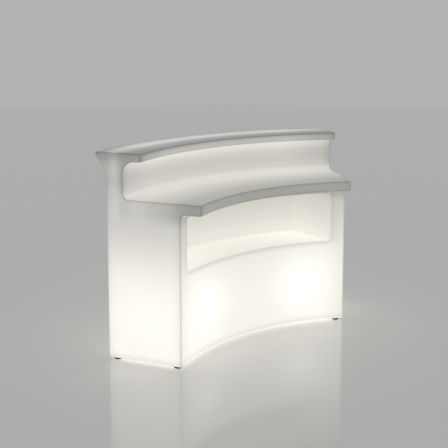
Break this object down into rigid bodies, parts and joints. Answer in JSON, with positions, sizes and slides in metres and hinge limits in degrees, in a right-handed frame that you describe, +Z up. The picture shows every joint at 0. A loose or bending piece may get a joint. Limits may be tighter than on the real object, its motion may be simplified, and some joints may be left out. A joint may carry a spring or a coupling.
{
  "type": "illuminated bar counter",
  "caption": "Curved hollow bar counter with flared front, bar top, work shelf and storage niche, lit from inside by lamps in its base, on levelling feet.",
  "frame": {"origin": "on the floor, under the middle of the counter's box", "axes": "+X along the counter to the server's right, +Y towards the customers, +Z up"},
  "size_m": [1.6576, 0.733, 1.1],
  "materials": {
    "translucent_polyethylene": "satin moulded, translucent, lit from inside",
    "brass": "machined",
    "white_pvc": "smooth",
    "black_polyamide": "fine moulded grain",
    "rubber": "matt",
    "zinc_plated_steel": "bright zinc",
    "white_painted_steel": "powder coat",
    "white_phenolic": "moulded",
    "nickel_plated_cap": "rolled, bright",
    "white_polycarbonate": "moulded",
    "opal_globe": "opal, lit",
    "natural_polyamide": "moulded"
  },
  "bodies": {
    "counter": {"body_shell": "translucent_polyethylene", "foot_inserts": "brass", "link_cable": "white_pvc", "gland_body": "black_polyamide", "gland_locknut": "black_polyamide", "gland_seal": "rubber", "gland_cap": "black_polyamide", "left_lamp_plate": "white_painted_steel", "left_lamp_gasket": "rubber", "left_plate_screws": "zinc_plated_steel", "left_plate_inserts": "brass", "left_lamp_post": "white_painted_steel", "left_lampholder": "white_phenolic", "left_lampholder_contact": "brass", "left_bulb_cap": "nickel_plated_cap", "left_bulb_collar": "white_polycarbonate", "left_bulb_globe": "opal_globe", "left_terminal_block": "natural_polyamide", "left_lamp_leads": "white_pvc", "right_lamp_plate": "white_painted_steel", "right_lamp_gasket": "rubber", "right_plate_screws": "zinc_plated_steel", "right_plate_inserts": "brass", "right_lamp_post": "white_painted_steel", "right_lampholder": "white_phenolic", "right_lampholder_contact": "brass", "right_bulb_cap": "nickel_plated_cap", "right_bulb_collar": "white_polycarbonate", "right_bulb_globe": "opal_globe", "right_terminal_block": "natural_polyamide", "right_lamp_leads": "white_pvc"},
    "pad_inner_left": {"foot_pad_inner_left": "black_polyamide"},
    "stem_inner_left": {"foot_stem_inner_left": "zinc_plated_steel"},
    "pad_outer_left": {"foot_pad_outer_left": "black_polyamide"},
    "stem_outer_left": {"foot_stem_outer_left": "zinc_plated_steel"},
    "pad_middle_left": {"foot_pad_middle_left": "black_polyamide"},
    "stem_middle_left": {"foot_stem_middle_left": "zinc_plated_steel"},
    "pad_inner_right": {"foot_pad_inner_right": "black_polyamide"},
    "stem_inner_right": {"foot_stem_inner_right": "zinc_plated_steel"},
    "pad_outer_right": {"foot_pad_outer_right": "black_polyamide"},
    "stem_outer_right": {"foot_stem_outer_right": "zinc_plated_steel"},
    "pad_middle_right": {"foot_pad_middle_right": "black_polyamide"},
    "stem_middle_right": {"foot_stem_middle_right": "zinc_plated_steel"}
  },
  "joints": [
    {"name": "level_inner_left", "type": "slide", "parent": "counter", "child": "pad_inner_left", "axis": [0, 0, -1], "range_m": [0, 0.015]},
    {"name": "turn_inner_left", "type": "hinge", "parent": "pad_inner_left", "child": "stem_inner_left", "pos_m": [-0.57856, -0.22132, 0], "axis": [0, 0, -1], "range_deg": [0, 3600]},
    {"name": "level_outer_left", "type": "slide", "parent": "counter", "child": "pad_outer_left", "axis": [0, 0, -1], "range_m": [0, 0.015]},
    {"name": "turn_outer_left", "type": "hinge", "parent": "pad_outer_left", "child": "stem_outer_left", "pos_m": [-0.75062, 0.07669, 0], "axis": [0, 0, -1], "range_deg": [0, 3600]},
    {"name": "level_middle_left", "type": "slide", "parent": "counter", "child": "pad_middle_left", "axis": [0, 0, -1], "range_m": [0, 0.015]},
    {"name": "turn_middle_left", "type": "hinge", "parent": "pad_middle_left", "child": "stem_middle_left", "pos_m": [-0.27159, 0.24482, 0], "axis": [0, 0, -1], "range_deg": [0, 3600]},
    {"name": "level_inner_right", "type": "slide", "parent": "counter", "child": "pad_inner_right", "axis": [0, 0, -1], "range_m": [0, 0.015]},
    {"name": "turn_inner_right", "type": "hinge", "parent": "pad_inner_right", "child": "stem_inner_right", "pos_m": [0.57856, -0.22132, 0], "axis": [0, 0, -1], "range_deg": [0, 3600]},
    {"name": "level_outer_right", "type": "slide", "parent": "counter", "child": "pad_outer_right", "axis": [0, 0, -1], "range_m": [0, 0.015]},
    {"name": "turn_outer_right", "type": "hinge", "parent": "pad_outer_right", "child": "stem_outer_right", "pos_m": [0.75062, 0.07669, 0], "axis": [0, 0, -1], "range_deg": [0, 3600]},
    {"name": "level_middle_right", "type": "slide", "parent": "counter", "child": "pad_middle_right", "axis": [0, 0, -1], "range_m": [0, 0.015]},
    {"name": "turn_middle_right", "type": "hinge", "parent": "pad_middle_right", "child": "stem_middle_right", "pos_m": [0.27159, 0.24482, 0], "axis": [0, 0, -1], "range_deg": [0, 3600]}
  ],
  "couplings": [
    {"joint": "turn_inner_left", "follows": "level_inner_left", "rad_per_m": 4188.8},
    {"joint": "turn_outer_left", "follows": "level_outer_left", "rad_per_m": 4188.8},
    {"joint": "turn_middle_left", "follows": "level_middle_left", "rad_per_m": 4188.8},
    {"joint": "turn_inner_right", "follows": "level_inner_right", "rad_per_m": 4188.8},
    {"joint": "turn_outer_right", "follows": "level_outer_right", "rad_per_m": 4188.8},
    {"joint": "turn_middle_right", "follows": "level_middle_right", "rad_per_m": 4188.8}
  ]
}
